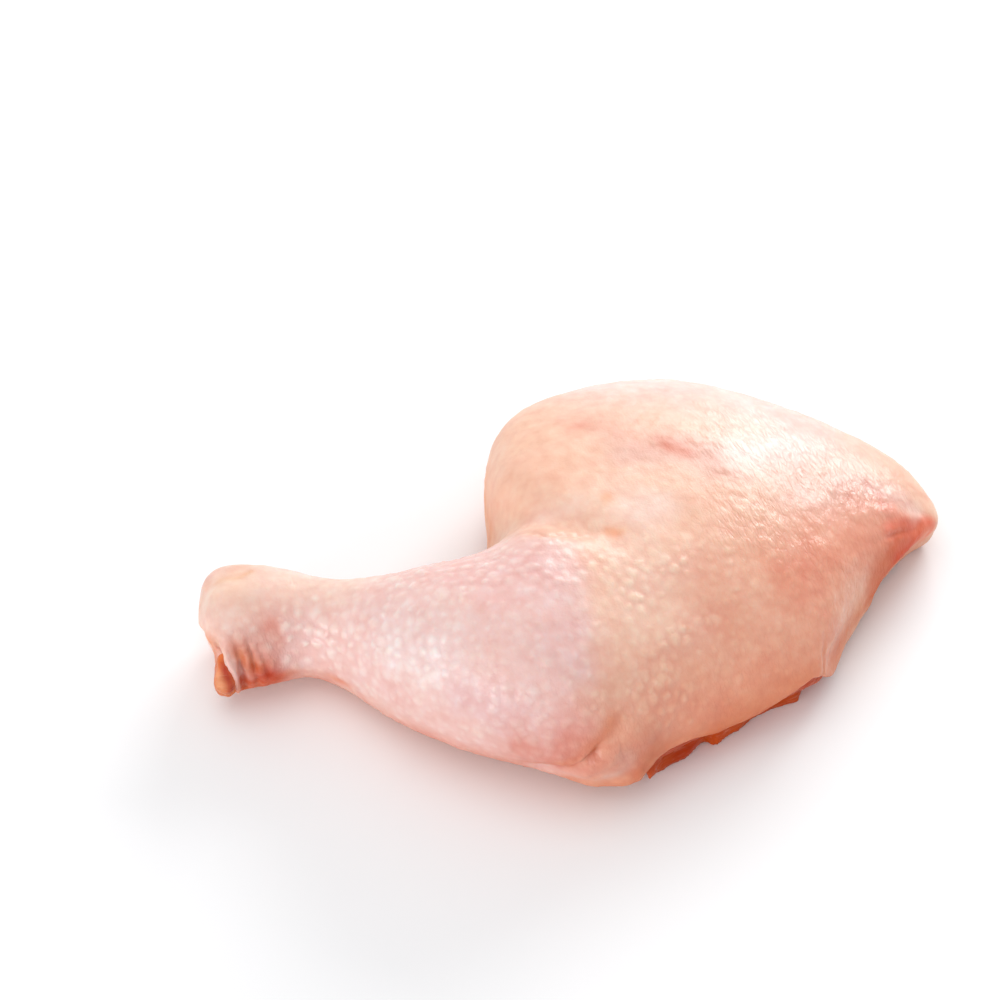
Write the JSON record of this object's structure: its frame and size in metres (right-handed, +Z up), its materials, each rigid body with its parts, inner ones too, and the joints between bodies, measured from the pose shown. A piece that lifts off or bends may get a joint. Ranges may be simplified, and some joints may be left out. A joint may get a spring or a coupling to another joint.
{
  "type": "raw chicken leg quarter",
  "caption": "Raw chicken leg quarter: the thigh and drumstick of a broiler in their skin, lying skin side up, with bare flesh under the thigh and the shank bone showing at the ankle.",
  "frame": {"origin": "middle of the bounding box in plan, on the surface that the leg lies on", "axes": "+X from the cut ankle to the hip corner of the thigh, +Y from the knee's bend to the back of the thigh, +Z up, out of the skin side"},
  "size_m": [0.2094, 0.1366, 0.0506],
  "materials": {
    "skin": "moist raw skin, pale peach to pink, half gloss",
    "flesh": "wet raw meat, dark orange red",
    "bone": "bare cartilage and bone, wet"
  },
  "bodies": {
    "root": {"skin": "skin", "flesh": "flesh", "shank_bone": "bone"}
  },
  "joints": []
}
